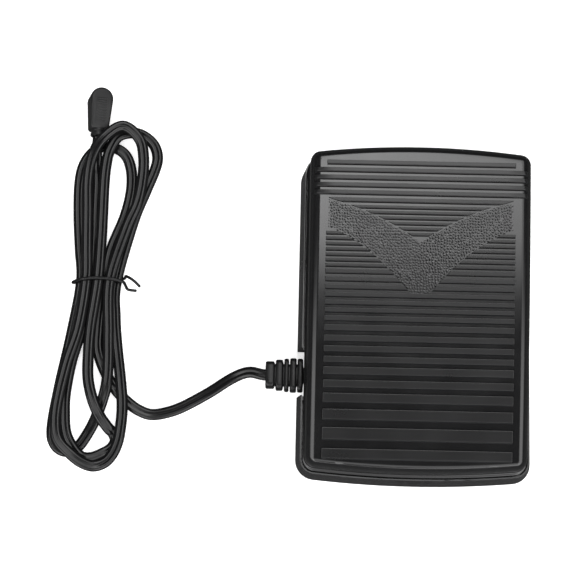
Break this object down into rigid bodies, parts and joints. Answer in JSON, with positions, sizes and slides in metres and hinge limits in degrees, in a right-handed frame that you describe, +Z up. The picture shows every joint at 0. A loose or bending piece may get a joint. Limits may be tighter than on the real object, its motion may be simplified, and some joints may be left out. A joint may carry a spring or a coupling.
{
  "type": "sewing machine foot pedal",
  "caption": "Foot pedal for a sewing machine: ribbed black treadle hinged over a shallow base, with its speed control inside and a tied coil of flat flex ending in a moulded plug.",
  "frame": {"origin": "on the floor, under the middle of the pedal", "axes": "+X to the pedal's right side, +Y towards its toe (high) end, +Z up; the flex leaves the left side"},
  "size_m": [0.2283, 0.1902, 0.047],
  "materials": {
    "black_abs": "satin moulded",
    "black_gloss": "glossy moulded, pebbled chevron",
    "steel": "bright",
    "zinc": "zinc plated",
    "spring_steel": "oiled",
    "dark_nylon": "matte",
    "rubber": "matte",
    "acetal": "natural",
    "brass": "machined",
    "blue_plastic": "moulded",
    "board": "solder mask",
    "component_black": "moulded epoxy",
    "aluminium": "brushed",
    "yellow_plastic": "moulded",
    "red_plastic": "dipped",
    "ferrite": "sintered",
    "copper": "enamelled copper wire",
    "tan_ceramic": "lacquered",
    "brown_pvc": "sheath",
    "blue_pvc": "sheath",
    "black_pvc": "soft satin moulding",
    "tie_pvc": "sheathed wire"
  },
  "bodies": {
    "base": {"base_shell": "black_abs", "hinge_pin": "steel", "hinge_caps": "dark_nylon", "hinge_cap_screws": "zinc", "rubber_feet": "rubber", "return_spring_left": "spring_steel", "return_spring_right": "spring_steel", "stop_bumpers": "rubber", "plunger_spring": "spring_steel", "plunger_guide": "dark_nylon", "guide_screws": "zinc", "pot_body": "blue_plastic", "circuit_board": "board", "board_screws": "zinc", "triac": "component_black", "heat_sink": "aluminium", "triac_screw": "zinc", "suppression_capacitor": "yellow_plastic", "timing_capacitors": "red_plastic", "choke_core": "ferrite", "choke_winding": "copper", "resistors": "tan_ceramic", "diac": "blue_plastic", "fuse": "steel", "terminal_block": "blue_plastic", "terminal_screws": "zinc", "cord_clamp": "dark_nylon", "cord_clamp_screws": "zinc", "lead_live": "brown_pvc", "lead_neutral": "blue_pvc", "strain_relief": "black_pvc", "cord": "black_pvc", "plug_body": "black_pvc", "plug_contacts": "brass", "twist_tie": "tie_pvc"},
    "treadle": {"treadle_cover": "black_gloss"},
    "plunger": {"speed_plunger": "acetal"},
    "pinion": {"pot_pinion": "acetal", "pot_shaft": "brass"}
  },
  "joints": [
    {"name": "treadle_hinge", "type": "hinge", "parent": "base", "child": "treadle", "pos_m": [0, -0.066, 0.012], "axis": [1, 0, 0], "range_deg": [-6, 0], "stiffness_Nm_per_rad": 4, "springref_deg": 5.73, "deforming": ["return_spring_left", "return_spring_right"]},
    {"name": "plunger_slide", "type": "slide", "parent": "base", "child": "plunger", "axis": [0, 0, 1], "range_m": [-0.0089, 0], "deforming": ["plunger_spring"]},
    {"name": "control_turn", "type": "hinge", "parent": "base", "child": "pinion", "pos_m": [0.022, 0.02725, 0.0165], "axis": [1, 0, 0], "range_deg": [0, 107]}
  ],
  "couplings": [
    {"joint": "plunger_slide", "follows": "treadle_hinge", "m_per_rad": 0.0845},
    {"joint": "control_turn", "follows": "treadle_hinge", "ratio": -17.604}
  ]
}
